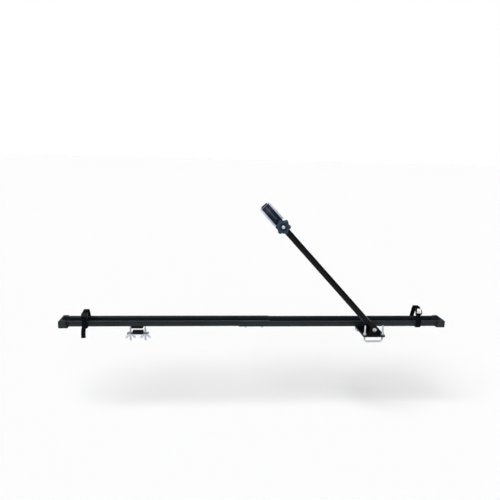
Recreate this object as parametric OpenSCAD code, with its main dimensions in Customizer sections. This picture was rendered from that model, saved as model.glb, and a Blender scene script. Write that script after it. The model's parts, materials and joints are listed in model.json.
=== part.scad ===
// Roof mounted bike carrier: a two piece wheel rail that sits across two roof bars, with a hinged
// frame arm and screw clamp, two wheel straps and the clamps that hold it to the bars.
// X runs along the rail towards the front, Z is up, and the origin is the front bar seat.

/* [Rail] */
// Length of the rail over both end caps
rail_len = 1326; // [1100:1:1600]
// Front end of the rail ahead of the front bar
rail_front = 280; // [230:1:400]
// Width over the front half rail's walls
rail_w = 48; // [40:0.5:70]
// Width of a turned out lip
lip = 5; // [4:0.5:10]
// Height of a half rail
rail_h = 22; // [16:0.5:40]
// Thickness of the rail's steel sheet
sheet = 1.5; // [1:0.1:2.5]
// Inside radius of the rail's bends
bend_r = 3; // [1:0.5:5]
// Side clearance between the nested half rails
nest_gap = 0.3; // [0.1:0.05:1]
// Length of the nested overlap
overlap = 107; // [80:1:200]
// Middle of the overlap behind the front bar
splice_back = 393; // [300:1:450]
// Distance between the two splice bolts
splice_pitch = 57; // [40:1:100]
// Length of the rear end cap along its lower edge
rear_cap_len = 30; // [25:1:45]
// Length of the front end cap along its lower edge
front_cap_len = 30; // [25:1:45]
// Wall of an end cap outside the rail
cap_wall = 1.8; // [1.2:0.1:3]
// Slant of an end cap's inner edge
cap_slant = 9; // [0:0.5:15]
// Clearance between an end cap and the rail's sheet
cap_gap = 0.15; // [0.05:0.05:0.4]

/* [Roof bars] */
// Distance between the two roof bars
bar_pitch = 790; // [650:1:900]
// Width of the widest roof bar that the clamps take
bar_w = 40; // [28:1:44]
// Height of the tallest roof bar that the clamps take
bar_h = 16; // [12:1:35]
// Distance between the legs of a U bolt
u_pitch = 60; // [56:1:72]
// Distance between the two bolts of the rear clamp
rear_pitch = 50; // [48:1:70]
// Thickness of the front rubber pad
front_pad_t = 2; // [1:0.5:5]
// Height of the U bolt's thread above the bracket
thread_up = 32; // [16:1:45]
// Length of the rear clamp bolts below the roof bar's top
rear_bolt_down = 50; // [45:1:80]

/* [Arm bracket] */
// Width of the base plate along the rail
plate_w = 74; // [72:1:100]
// Thickness of the base plate and ears
plate_t = 3; // [2:0.5:5]
// Near edge of the base plate in front of the rail's middle
plate_near = 114; // [105:1:150]
// Place of the near U bolt in front of the rail's middle
near_bolt = 103; // [98:1:120]
// Middle of the arm's foot in front of the rail's middle
arm_side = 72; // [66:1:80]
// Pivot ahead of the front bar
pivot_x = 5; // [-10:0.5:15]
// Pivot above the roof bar's top
pivot_z = 18; // [17:0.5:30]
// Radius of the ears round the pivot
ear_r = 14; // [12:0.5:18]
// Height of the ears above the pivot
ear_up = 28; // [20:0.5:36]
// Room between the tube's side and an ear
ear_room = 1.5; // [1:0.1:3]

/* [Arm] */
// Angle of the arm above the rail
arm_rise = 47; // [30:1:80]
// Width of the arm tube in the plane that it swings in
tube_w = 21; // [18:0.5:26]
// Depth of the arm tube across the rail
tube_d = 30; // [26:0.5:36]
// Wall of the arm tube
tube_wall = 1.5; // [1:0.1:3]
// Corner radius of the arm tube
tube_r = 10; // [3:0.5:10]
// Straight foot of the tube before it cranks inwards
foot_len = 50; // [40:1:100]
// Length of the cranked stretch of the tube
crank_len = 330; // [200:1:380]
// Middle of the tube's top end in front of the rail's middle
head_side = 32; // [28:1:32]

/* [Frame clamp] */
// Distance from the pivot to the clamp bolt
knob_at = 464; // [445:1:560]
// Distance from the clamp bolt up to the middle of the held frame tube
grip_up = 50; // [46:1:70]
// Radius of the jaw's inner face
jaw_r = 36; // [30:0.5:45]
// Thickness of a jaw at its foot
jaw_t = 7; // [5:0.5:10]
// Thickness of a jaw at its tip
tip_t = 5; // [4:0.5:7]
// Width of the front jaw
jaw_w = 28; // [24:0.5:40]
// Width of the rear jaw
rear_jaw_w = 24; // [20:0.5:40]
// Angle that a jaw's tip wraps over the frame tube
jaw_wrap = 58; // [20:1:62]
// Height of the stiffening rib at its foot on a jaw's back
rib_h = 4; // [1:0.5:8]
// Width of the stiffening rib
rib_w = 9; // [6:0.5:20]
// Thickness of the rubber in the jaws
pad_t = 3; // [2:0.5:5]
// Width of the rubber's rim beside a jaw
pad_side = 6.5; // [2:0.5:8]
// Height of the rubber's rim up a jaw's edge
pad_grip = 4; // [2:0.5:6]
// Depth of the head block behind the front jaw
block_d = 56; // [40:1:60]
// Radius of the star knob over its lobes
knob_r = 25.5; // [20:0.5:32]
// Thickness of the star knob
knob_t = 18; // [12:0.5:26]
// Number of lobes on the star knob
lobes = 6; // [5:1:8]

/* [Wheel straps] */
// Distance from the rail's rear end to the rear strap
rear_strap_in = 86; // [70:1:150]
// Distance from the rail's front end to the front strap
front_strap_in = 97; // [70:1:150]
// Width of a strap
strap_w = 15.5; // [12:0.5:30]
// Thickness of a strap
strap_t = 2; // [1.5:0.1:3]
// Height of the rear strap's loop above the roof bar's top
rear_top = 58; // [55:1:90]
// Height of the front strap's loop above the roof bar's top
front_top = 72; // [55:1:90]
// Width of a strap's loop at its top
strap_crown = 24; // [16:1:40]
// Clearance between a strap and the rail
strap_gap = 0.4; // [0.2:0.1:1]
// Lower end of the rear strap's tail below the roof bar's top
rear_tail = 28; // [0:1:60]
// Lower end of the front strap's tail above the roof bar's top
front_tail = 8; // [0:1:30]
// Length of a buckle along the strap
buckle_len = 22; // [20:1:32]
// Thickness of a buckle's steel
buckle_t = 1.2; // [0.8:0.1:2]
// Length of a buckle's lever beyond its pin
lever_len = 12; // [10:1:24]

/* [Fasteners] */
// Diameter of the small bolts
m6 = 6; // [5:0.5:8]
// Diameter of the pivot and clamp bolts
m8 = 8; // [6:0.5:10]
// Radial running clearance of a nut, a bush or a pin on its bolt
run_gap = 0.05; // [0.02:0.01:0.1]
// Radial clearance of a bolt in its hole
hole_gap = 0.3; // [0.2:0.05:0.6]
// Radial clearance of a pressed, riveted or glued piece in its seat
seat_gap = 0.05; // [0.02:0.01:0.1]
// Thickness of a washer
washer_t = 1.2; // [0.8:0.1:2]

/* [Hidden] */
$fn = 48;
ARC_STEPS = 8;
JAW_STEPS = 16;

// Heights: the front half rail lies on the bracket, and the rear half rail nests in it
front_z = front_pad_t + plate_t;
rear_z = front_z + sheet;
rear_w = rail_w - 2 * sheet - 2 * nest_gap;
lip_top = rear_z + rail_h;
lip_w = rail_w + 2 * lip;

// Places along the rail
rail_rear = rail_front - rail_len;
cap_end = 4;
front_rail_x = [-splice_back - overlap / 2, rail_front - cap_end];
rear_rail_x = [rail_rear + cap_end, -splice_back + overlap / 2];
splice_xs = [-splice_back - splice_pitch / 2, -splice_back + splice_pitch / 2];

// Fastener sizes that follow the bolts
r6 = m6 / 2;
r8 = m8 / 2;
nut6_h = 0.85 * m6;
nut6_r = m6 * 0.96;
nut8_h = m8;
nut8_r = m8 * 0.94;
washer6_r = 1.1 * m6;
head6_r = 1.25 * m6;
head6_h = 0.55 * m6;

// Frame arm, along its own axis from the pivot
flange_t = 4;
jaw_low = knob_at - 0.68 * knob_r;
tube_top = jaw_low - flange_t;
bush_r = r8 + 2;
bush_len = tube_d + 2 * ear_room - 0.6;
ear_y = [for (s = [-1, 1]) -arm_side + s * (tube_d / 2 + ear_room)];
grip_at = knob_at + grip_up;
throat = grip_at - jaw_r + pad_t;
block_top = throat - pad_t;
block_w = jaw_w;
guide_r = r6;
guide_at = knob_at - 2.5 * m6;
block_low = guide_at - 3 * guide_r;
jaw_screw_at = knob_at - 1.5 * m6;
screw_r = 2;
screw_sink = 3;
knob_back = jaw_r + jaw_t + washer_t + 0.3;

// Straps: each one's place, top and tail, and the loop seen along the rail
REAR = [rail_rear + rear_strap_in, rear_top, -rear_tail];
FRONT = [rail_front - front_strap_in, front_top, front_tail];
loop_half = lip_w / 2 + strap_gap + strap_t / 2;
loop_low = front_z - strap_gap - strap_t / 2;
shoulder_z = lip_top + 3;
crown_half = strap_crown / 2;
buckle_drop = 5;
buckle_room = 0.3;
over = strap_t + buckle_t + 2 * buckle_room;
pin_r = 1.6;
pin_out = over + strap_t / 2 + buckle_room + 4;
pin_up = -3;
lever_hub = 3.8;

// Outlines: a corner of radius r at p1, a rounded path or loop of [x, y, r] points, and a strip
// of thickness t along a path
function flat(p) = [p[0], p[1]];
function unit(v) = v / norm(v);
function corner(p0, p1, p2, r) =
  r <= 0 ? [p1] :
  let (
    a = unit(p0 - p1),
    b = unit(p2 - p1),
    half = acos(a * b) / 2,
    c = p1 + unit(a + b) * r / sin(half),
    s = p1 + a * r / tan(half) - c,
    e = p1 + b * r / tan(half) - c,
    a0 = atan2(s[1], s[0]),
    turn = (atan2(e[1], e[0]) - a0 + 900) % 360 - 180
  )
  [for (i = [0 : ARC_STEPS]) c + r * [cos(a0 + turn * i / ARC_STEPS), sin(a0 + turn * i / ARC_STEPS)]];
function path(pts) =
  let (n = len(pts))
  [for (i = [0 : n - 1])
    each (i == 0 || i == n - 1) ? [flat(pts[i])] :
      corner(flat(pts[i - 1]), flat(pts[i]), flat(pts[i + 1]), pts[i][2])];
function loop(pts) =
  let (n = len(pts))
  [for (i = [0 : n - 1])
    each corner(flat(pts[(i + n - 1) % n]), flat(pts[i]), flat(pts[(i + 1) % n]), pts[i][2])];
function side(pts, i) =
  let (
    n = len(pts),
    d0 = unit(pts[i] - pts[max(i - 1, 0)] + (i == 0 ? pts[1] - pts[0] : [0, 0])),
    d1 = unit(pts[min(i + 1, n - 1)] - pts[i] + (i == n - 1 ? pts[i] - pts[i - 1] : [0, 0])),
    m = unit(d0 + d1)
  )
  [-m[1], m[0]] / (m * d0);
function strip(pts, t) =
  let (n = len(pts))
  concat(
    [for (i = [0 : n - 1]) pts[i] + side(pts, i) * t / 2],
    [for (i = [n - 1 : -1 : 0]) pts[i] - side(pts, i) * t / 2]
  );

// Places: along the rail, and on the arm with the rail's middle plane at y = 0
module along_x(x0, x1) {
  translate([x0, 0, 0]) rotate([90, 0, 90]) linear_extrude(x1 - x0) children();
}
module along_y(y0, y1) {
  translate([0, y1, 0]) rotate([90, 0, 0]) linear_extrude(y1 - y0) children();
}
module rod_y(y0, y1, r) {
  translate([0, y1, 0]) rotate([90, 0, 0]) cylinder(h = y1 - y0, r = r);
}
module rod_z(z0, z1, r) {
  translate([0, 0, z0]) cylinder(h = z1 - z0, r = r);
}
module on_arm() {
  translate([pivot_x, 0, pivot_z]) rotate([0, arm_rise - 90, 0]) children();
}
module across_arm(w) {
  translate([-w / 2, 0, 0]) rotate([90, 0, 90]) linear_extrude(w) children();
}
module round_rect(w, h, r) {
  square([w - 2 * r, h], center = true);
  square([w, h - 2 * r], center = true);
  for (x = [-1, 1], y = [-1, 1]) translate([x * (w / 2 - r), y * (h / 2 - r)]) circle(r);
}

// Fasteners, on the z axis
module washer(z, r, bolt_r) {
  difference() {
    rod_z(z, z + washer_t, r);
    rod_z(z - 1, z + washer_t + 1, bolt_r + hole_gap);
  }
}
module hex_nut(z, h, r, bolt_r) {
  difference() {
    translate([0, 0, z]) cylinder(h = h, r = r, $fn = 6);
    rod_z(z - 1, z + h + 1, bolt_r + run_gap);
  }
}
module domed_bolt(z_head, z_end, r, head_r, head_h) {
  rod_z(z_end, z_head, r);
  ball_r = (head_r * head_r + head_h * head_h) / (2 * head_h);
  intersection() {
    translate([0, 0, z_head + head_h - ball_r]) sphere(ball_r);
    rod_z(z_head, z_head + head_h, head_r);
  }
}

// Half rails: a channel with turned out lips, its sheet grown all round for what fits over it
module channel(w, z, grow = 0) {
  wall = w / 2 - sheet / 2;
  edge = lip_w / 2 + grow;
  r = bend_r + sheet / 2;
  low = z + sheet / 2;
  high = z + rail_h - sheet / 2;
  polygon(strip(path([[-edge, high], [-wall, high, r], [-wall, low, r], [wall, low, r],
    [wall, high, r], [edge, high]]), sheet + 2 * grow));
}
module floor_holes(xs) {
  for (x = xs) translate([x, 0, 0]) rod_z(-1, lip_top, r6 + hole_gap);
}
module rear_rail() {
  color([0.10, 0.11, 0.13]) difference() {
    along_x(rear_rail_x[0], rear_rail_x[1]) channel(rear_w, rear_z);
    floor_holes(splice_xs);
    floor_holes([for (s = [-1, 1]) -bar_pitch + s * rear_pitch / 2]);
  }
}
module front_rail() {
  color([0.10, 0.11, 0.13]) difference() {
    along_x(front_rail_x[0], front_rail_x[1]) channel(rail_w, front_z);
    floor_holes(splice_xs);
    floor_holes([-u_pitch / 2, u_pitch / 2]);
  }
}

// End caps: a sleeve over the sheet, open above, shut at the end
module cap_solid(w, z, length) {
  half = lip_w / 2 + cap_wall;
  z0 = z - cap_wall;
  z1 = z + rail_h + cap_wall;
  inner = w / 2 - sheet - 2 * cap_wall;
  trough_len = length + 1 - 2 * cap_end;
  difference() {
    along_y(-half, half)
      polygon(loop([[-length, z0, 0], [0, z0, 3], [0, z1, 5], [cap_slant - length, z1, 0]]));
    translate([-length - 1, -inner, z + sheet + cap_wall]) cube([trough_len, 2 * inner, rail_h]);
    along_x(-length - 1, -cap_end + cap_gap) channel(w, z, cap_gap);
  }
}
module rear_end_cap() {
  color([0.06, 0.06, 0.07]) translate([rail_rear, 0, 0]) mirror([1, 0, 0])
    cap_solid(rear_w, rear_z, rear_cap_len);
}
module front_end_cap() {
  color([0.06, 0.06, 0.07]) translate([rail_front, 0, 0]) cap_solid(rail_w, front_z, front_cap_len);
}

// Splice: two bolts down through both floors, with washers and nuts below
splice_head = rear_z + sheet;
splice_end = front_z - washer_t - nut6_h - 4;
module at_splice() {
  for (x = splice_xs) translate([x, 0, 0]) children();
}
module splice_bolts() {
  color("silver") at_splice() domed_bolt(splice_head, splice_end, r6, head6_r, head6_h);
}
module splice_washers() {
  color("silver") at_splice() washer(front_z - washer_t, washer6_r, r6);
}
module splice_nuts() {
  color("silver") at_splice() hex_nut(front_z - washer_t - nut6_h, nut6_h, nut6_r, r6);
}

// Rear clamp: two bolts down past the bar, a plate under it and a wing nut on each
clamp_t = 3;
liner_t = 8;
liner_len = bar_w - 4;
clamp_len = rear_pitch + 4 * m6;
clamp_d = 26;
clamp_top = -bar_h - liner_t;
wing_top = clamp_top - clamp_t - washer_t;
wing_hub_h = 1.2 * m6;
wing_span = 36;
module at_rear_bolts() {
  for (s = [-1, 1]) translate([-bar_pitch + s * rear_pitch / 2, 0, 0]) children();
}
module rear_bar_pad() {
  color([0.05, 0.05, 0.05]) translate([-bar_pitch, 0, rear_z / 2])
    cube([bar_w, rail_w - 2, rear_z], center = true);
}
module rear_clamp_bolts() {
  color("silver") at_rear_bolts() domed_bolt(rear_z + sheet, -rear_bolt_down, r6, head6_r, head6_h);
}
module rear_clamp_plate() {
  color("silver") difference() {
    translate([-bar_pitch, 0, clamp_top - clamp_t]) linear_extrude(clamp_t)
      round_rect(clamp_len, clamp_d, m6);
    at_rear_bolts() rod_z(clamp_top - clamp_t - 1, clamp_top + 1, r6 + hole_gap);
  }
}
module rear_clamp_liner() {
  color([0.05, 0.05, 0.05]) translate([-bar_pitch, 0, clamp_top + liner_t / 2])
    cube([liner_len, clamp_d, liner_t], center = true);
}
module rear_clamp_washers() {
  color("silver") at_rear_bolts() washer(wing_top, washer6_r, r6);
}
module wing_nut() {
  wing_t = 2.6;
  color("silver") difference() {
    union() {
      rod_z(wing_top - wing_hub_h, wing_top, nut6_r);
      along_y(-wing_t / 2, wing_t / 2) for (s = [0, 1]) mirror([s, 0]) polygon(loop([
        [0, wing_top - 0.3 * wing_hub_h, 0], [nut6_r + 1, wing_top - 0.3 * wing_hub_h, 0],
        [wing_span / 2, wing_top - 0.9 * wing_hub_h, 3], [wing_span / 2, wing_top - 2 * wing_hub_h, 4],
        [nut6_r + 4, wing_top - 1.8 * wing_hub_h, 3], [nut6_r, wing_top - wing_hub_h, 0],
        [0, wing_top - wing_hub_h, 0]]));
    }
    rod_z(wing_top - 3 * wing_hub_h, wing_top + 1, r6 + run_gap);
  }
}
module rear_wing_nut_inner() {
  translate([-bar_pitch + rear_pitch / 2, 0, 0]) wing_nut();
}
module rear_wing_nut_outer() {
  translate([-bar_pitch - rear_pitch / 2, 0, 0]) wing_nut();
}

// Front clamp: a base plate on a rubber pad, held by two U bolts round the bar
plate_far = rail_w / 2 - 1;
u_bend = 6;
u_low = -bar_h - r6;
u_top = [front_z + thread_up, rear_z + washer_t + nut6_h + 4];
u_seat = [front_z, front_z + sheet];
u_ys = [-near_bolt, 0];
module at_u_legs() {
  for (i = [0, 1], s = [-1, 1]) translate([s * u_pitch / 2, u_ys[i], u_seat[i]]) children();
}
module plate_outline() {
  translate([0, (plate_far - plate_near) / 2]) round_rect(plate_w, plate_far + plate_near, 4);
}
module u_holes() {
  at_u_legs() rod_z(-40, 1, r6 + hole_gap);
}
module front_bar_pad() {
  color([0.05, 0.05, 0.05]) difference() {
    linear_extrude(front_pad_t) plate_outline();
    u_holes();
  }
}
// An ear leans with the raised tube: its tip lies on the tube's upper side
module ear(y) {
  tip = tube_w / 2 / sin(arm_rise) - ear_up / tan(arm_rise);
  back = -ear_r - 3;
  reach = plate_w / 2 - pivot_x - 3;
  translate([pivot_x, 0, 0]) along_y(y, y + plate_t) polygon(loop([
    [back, front_z - 1, 0], [reach, front_z - 1, 0], [reach, front_z + 2, 2],
    [ear_r - 2, pivot_z + 8, 8], [tip, pivot_z + ear_up, 5], [tip - 8, pivot_z + ear_up - 4, 4],
    [3 - ear_r, pivot_z + 3, 10], [back, front_z + 3, 3]]));
}
module arm_bracket() {
  color([0.05, 0.05, 0.06]) difference() {
    union() {
      translate([0, 0, front_pad_t]) linear_extrude(plate_t) plate_outline();
      ear(ear_y[0] - plate_t);
      ear(ear_y[1]);
    }
    u_holes();
    translate([pivot_x, 0, pivot_z]) rod_y(-plate_near, 0, r8 + hole_gap);
  }
}
module u_bolt(top) {
  leg = u_pitch / 2;
  bend = u_bend + r6;
  for (s = [0, 1]) mirror([s, 0, 0]) {
    translate([leg, 0, 0]) rod_z(u_low + bend, top, r6);
    translate([leg - bend, 0, u_low + bend]) rotate([90, 90, 0]) rotate_extrude(angle = 90)
      translate([bend, 0]) circle(r6);
  }
  translate([bend - leg, 0, u_low]) rotate([0, 90, 0]) cylinder(h = 2 * (leg - bend), r = r6);
}
module rail_u_bolt() {
  color("silver") translate([0, u_ys[1], 0]) u_bolt(u_top[1]);
}
module bracket_u_bolt() {
  color("silver") translate([0, u_ys[0], 0]) u_bolt(u_top[0]);
}
module u_bolt_washers() {
  color("silver") at_u_legs() washer(0, washer6_r, r6);
}
module u_bolt_nuts() {
  color("silver") at_u_legs() hex_nut(washer_t, nut6_h, nut6_r, r6);
}

// Pivot: a bolt through both ears and the arm's bush
pivot_head = 0.65 * m8;
pivot_back = ear_y[1] + plate_t;
module at_pivot() {
  translate([pivot_x, 0, pivot_z]) rotate([90, 0, 0]) children();
}
module pivot_bolt() {
  front = plate_t - ear_y[0];
  color("silver") at_pivot() {
    rod_z(-pivot_back - washer_t - nut8_h - 2, front, r8);
    translate([0, 0, front]) cylinder(h = pivot_head, r = nut8_r, $fn = 6);
  }
}
module pivot_washer() {
  color("silver") at_pivot() washer(-pivot_back - washer_t, 1.05 * m8, r8);
}
module pivot_nut() {
  color("silver") at_pivot() hex_nut(-pivot_back - washer_t - nut8_h, nut8_h, nut8_r, r8);
}

// Arm tube: a straight foot, a smooth crank towards the rail's middle and a straight top
CRANK_STEPS = 14;
function tube_outline(w, d, r) =
  loop([[-w / 2, -d / 2, r], [w / 2, -d / 2, r], [w / 2, d / 2, r], [-w / 2, d / 2, r]]);
function crank_side(t) = -arm_side + (arm_side - head_side) * (1 - cos(180 * t)) / 2;
tube_stations = concat(
  [[-arm_side, -tube_w]],
  [for (i = [0 : CRANK_STEPS]) [crank_side(i / CRANK_STEPS), foot_len + crank_len * i / CRANK_STEPS]],
  [[-head_side, tube_top]]
);
module swept_tube() {
  skins = [
    tube_outline(tube_w, tube_d, tube_r),
    tube_outline(tube_w - 2 * tube_wall, tube_d - 2 * tube_wall, tube_r - tube_wall)
  ];
  n = len(skins[0]);
  last = len(tube_stations) - 1;
  function at(skin, i, j) = (skin * (last + 1) + i) * n + j % n;
  polyhedron(
    points = [for (skin = skins, s = tube_stations, p = skin) [p[0], p[1] + s[0], s[1]]],
    faces = concat(
      [for (i = [0 : last - 1], j = [0 : n - 1])
        [at(0, i, j), at(0, i + 1, j), at(0, i + 1, j + 1), at(0, i, j + 1)]],
      [for (i = [0 : last - 1], j = [0 : n - 1])
        [at(1, i, j), at(1, i, j + 1), at(1, i + 1, j + 1), at(1, i + 1, j)]],
      [for (j = [0 : n - 1]) [at(0, 0, j), at(0, 0, j + 1), at(1, 0, j + 1), at(1, 0, j)]],
      [for (j = [0 : n - 1]) [at(0, last, j), at(1, last, j), at(1, last, j + 1), at(0, last, j + 1)]]
    )
  );
}
module tube_bore(gap) {
  shrink = 2 * (tube_wall + gap);
  round_rect(tube_w - shrink, tube_d - shrink, tube_r - tube_wall);
}
module foot_shape() {
  rod_y(-plate_near, 0, tube_w / 2);
  translate([-tube_w, -plate_near, 0]) cube([2 * tube_w, plate_near, knob_at]);
}
module arm_tube() {
  color([0.04, 0.04, 0.05]) on_arm() difference() {
    intersection() {
      swept_tube();
      foot_shape();
    }
    rod_y(-plate_near, 0, bush_r + seat_gap);
  }
}
module arm_foot_plug() {
  color([0.06, 0.06, 0.07]) on_arm() difference() {
    intersection() {
      translate([0, -arm_side, -tube_w]) linear_extrude(tube_w + 16) tube_bore(seat_gap);
      foot_shape();
    }
    rod_y(-plate_near, 0, bush_r + seat_gap);
  }
}
module pivot_bush() {
  color("silver") on_arm() difference() {
    rod_y(-arm_side - bush_len / 2, -arm_side + bush_len / 2, bush_r);
    rod_y(-plate_near, 0, r8 + run_gap);
  }
}

// Frame clamp: a block on the tube's end, a fixed front jaw and a rear jaw that slides on the bolt
block_back = block_d - jaw_r;
module block_bores() {
  translate([0, 0, knob_at]) rod_y(-2 * jaw_r, 2 * jaw_r, r8 + hole_gap);
  translate([0, 0, guide_at]) rod_y(-2 * jaw_r, 2 * jaw_r, guide_r + run_gap);
}
module screw_places() {
  for (s = [-1, 1]) translate([s * (block_w / 2 - m6), 0, jaw_screw_at]) children();
}
module head_block() {
  spigot = 30;
  front = -head_side - tube_d / 2;
  color([0.07, 0.08, 0.10]) on_arm() difference() {
    union() {
      translate([0, -head_side, tube_top - spigot]) linear_extrude(spigot) tube_bore(seat_gap);
      across_arm(block_w) polygon(loop([[front, tube_top, 0], [-head_side + tube_d / 2, tube_top, 3],
        [block_back, block_low, 5], [block_back, block_top, 3], [-jaw_r, block_top, 0],
        [-jaw_r, jaw_low, 0], [front, jaw_low, 0]]));
    }
    block_bores();
    screw_places() rod_y(-2 * jaw_r, 0, screw_r + run_gap);
  }
}
module throat_pad() {
  front = pad_t + 0.5 - jaw_r;
  color([0.62, 0.68, 0.78]) on_arm() translate([1 - block_w / 2, front, block_top + seat_gap])
    cube([block_w - 2, block_d - pad_t - 4, pad_t - seat_gap]);
}
// A line up a jaw on the side s, from low to its tip, t0 outside the inner face at first and t1 at the tip
function jaw_line(low, t0, t1, wrap, s) = concat(
  [[s * (jaw_r + t0), low]],
  [for (i = [0 : JAW_STEPS])
    let (a = wrap * i / JAW_STEPS, r = jaw_r + t0 + (t1 - t0) * i / JAW_STEPS)
    [s * r * cos(a), grip_at + r * sin(a)]]
);
function band(outer, inner) = concat(outer, [for (i = [len(inner) - 1 : -1 : 0]) inner[i]]);
module jaw(s, w, low) {
  across_arm(w) polygon(band(jaw_line(low, jaw_t, tip_t, jaw_wrap, s), jaw_line(low, 0, 0, jaw_wrap, s)));
  rib_low = knob_at + knob_r + 3;
  rib_wrap = jaw_wrap - 8;
  across_arm(rib_w) polygon(band(jaw_line(rib_low, jaw_t + rib_h, tip_t + 1.2, rib_wrap, s),
    jaw_line(rib_low, 1, 1, rib_wrap, s)));
}
module jaw_pad(s, w) {
  pad_low = block_top + pad_t + 1;
  pad_wrap = jaw_wrap - 3;
  back = -seat_gap;
  face = back - pad_t;
  rim_w = pad_side - seat_gap;
  inner = jaw_line(pad_low, face, face, pad_wrap, s);
  across_arm(w + 2 * pad_side) polygon(band(jaw_line(pad_low, back, back, pad_wrap, s), inner));
  for (x = [-1, 1]) translate([x * (w / 2 + pad_side - rim_w / 2), 0, 0]) across_arm(rim_w)
    polygon(band(jaw_line(pad_low, pad_grip, pad_grip, pad_wrap, s), inner));
}
module front_jaw() {
  color([0.07, 0.08, 0.10]) on_arm() difference() {
    jaw(-1, jaw_w, jaw_low);
    translate([0, 0, knob_at]) rod_y(-3 * jaw_r, 0, r8 + hole_gap);
    screw_places() {
      rod_y(-3 * jaw_r, 0, screw_r + hole_gap);
      rod_y(-3 * jaw_r, -jaw_r - jaw_t + screw_sink, 2 * screw_r + hole_gap);
    }
  }
}
module front_jaw_pad() {
  color([0.62, 0.68, 0.78]) on_arm() jaw_pad(-1, jaw_w);
}
module jaw_screws() {
  color("silver") on_arm() screw_places() {
    rod_y(-jaw_r - jaw_t + screw_sink, 14 - jaw_r, screw_r);
    rod_y(0.6 - jaw_r - jaw_t, screw_sink - jaw_r - jaw_t, 2 * screw_r);
  }
}
module rear_jaw() {
  color([0.07, 0.08, 0.10]) on_arm() difference() {
    jaw(1, rear_jaw_w, block_low);
    translate([0, 0, knob_at]) rod_y(0, 3 * jaw_r, r8 + seat_gap);
    translate([0, 0, guide_at]) rod_y(0, 3 * jaw_r, guide_r + seat_gap);
  }
}
module rear_jaw_pad() {
  color([0.62, 0.68, 0.78]) on_arm() jaw_pad(1, rear_jaw_w);
}
bolt_end = knob_back + knob_t + 7;
module clamp_bolt() {
  back = jaw_r + jaw_t;
  color("silver") on_arm() translate([0, 0, knob_at]) rotate([-90, 0, 0])
    domed_bolt(back, -bolt_end, r8, 1.2 * m8, 0.5 * m8);
}
module guide_pin() {
  color("silver") on_arm() translate([0, 0, guide_at]) rod_y(-block_back, jaw_r + jaw_t, guide_r);
}

// Star knob: turns on the clamp bolt against a washer on the front jaw, with a threaded bush through it
bush_flange_r = 1.05 * m8;
bush_flange_t = 2;
knob_bush_r = 0.7 * m8;
valley = 0.8;
STAR_STEPS = 96;
module on_knob() {
  on_arm() translate([0, -knob_back, knob_at]) rotate([90, 0, 0]) children();
}
// The lobes' outline, with one lobe pointing along the rail
star_turn = arm_rise - 90;
star = [for (i = [0 : STAR_STEPS - 1])
  let (a = 360 * i / STAR_STEPS, lobe = (1 + cos(lobes * a)) / 2)
  knob_r * (valley + (1 - valley) * lobe) * [cos(a + star_turn), sin(a + star_turn)]];
module knob_bush_shape(past, gap) {
  rod_z(-past, knob_t + past, knob_bush_r + gap);
  rod_z(-past, bush_flange_t + gap, bush_flange_r + gap);
}
module knob_washer() {
  color("silver") on_knob() difference() {
    rod_z(-washer_t - 0.3, -0.3, 1.3 * m8);
    rod_z(-2 * washer_t, 1, r8 + hole_gap);
  }
}
module clamp_knob() {
  hub_t = 0.2 * knob_t;
  edge_t = 0.15 * knob_t;
  color([0.08, 0.10, 0.14]) on_knob() difference() {
    union() {
      rod_z(0, knob_t / 2, 1.35 * m8);
      translate([0, 0, hub_t]) linear_extrude(knob_t - hub_t - edge_t) polygon(star);
      translate([0, 0, knob_t - edge_t]) linear_extrude(edge_t, scale = 0.92) polygon(star);
    }
    knob_bush_shape(1, seat_gap);
  }
}
module knob_insert() {
  color("silver") on_knob() difference() {
    knob_bush_shape(0, 0);
    rod_z(-1, knob_t + 1, r8 + run_gap);
  }
}

// Wheel straps: a loop round the rail and over the wheel, with a lever buckle on the near side
function lean(s) = atan2(loop_half - crown_half, s[1] - shoulder_z);
function buckle_low(s) = s[1] - buckle_drop - buckle_len * cos(lean(s));
function on_lean(s, z, out) =
  [-loop_half + (z - shoulder_z) * tan(lean(s)) - out * cos(lean(s)), z + out * sin(lean(s))];
function rounded_at(p, r) = [p[0], p[1], r];
function strap_points(s) =
  let (
    top = s[1],
    low = buckle_low(s),
    tail_y = -loop_half - strap_t - 1.5
  )
  [on_lean(s, low + 8, 0), [-loop_half, shoulder_z, 8], [-loop_half, loop_low, 4],
    [loop_half, loop_low, 4], [loop_half, shoulder_z, 8], [crown_half, top, 9],
    rounded_at(on_lean(s, top, over), 9), rounded_at(on_lean(s, low - 2, over), 6),
    [tail_y, low - 10, 8], [tail_y, s[2]]];
module on_buckle(s) {
  mid = on_lean(s, (s[1] - buckle_drop + buckle_low(s)) / 2, 0);
  translate([s[0], mid[0], mid[1]]) rotate([-lean(s), 0, 0]) children();
}
rivet_r = 2;
rivet_z = 5 - buckle_len / 2;
module strap(s) {
  color([0.04, 0.04, 0.05]) difference() {
    along_x(s[0] - strap_w / 2, s[0] + strap_w / 2) polygon(strip(path(strap_points(s)), strap_t));
    on_buckle(s) translate([0, 0, rivet_z]) rod_y(-strap_t, strap_t, rivet_r + seat_gap);
  }
}
module rivet(s) {
  color("silver") on_buckle(s) translate([0, 0, rivet_z]) {
    rod_y(-strap_t / 2 - buckle_t - 0.2, strap_t / 2 + seat_gap, rivet_r);
    rod_y(strap_t / 2 + seat_gap, strap_t / 2 + 1, 1.7 * rivet_r);
  }
}
module pin_rod(reach, r) {
  translate([-reach, -pin_out, pin_up]) rotate([0, 90, 0]) cylinder(h = 2 * reach, r = r);
}
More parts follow.
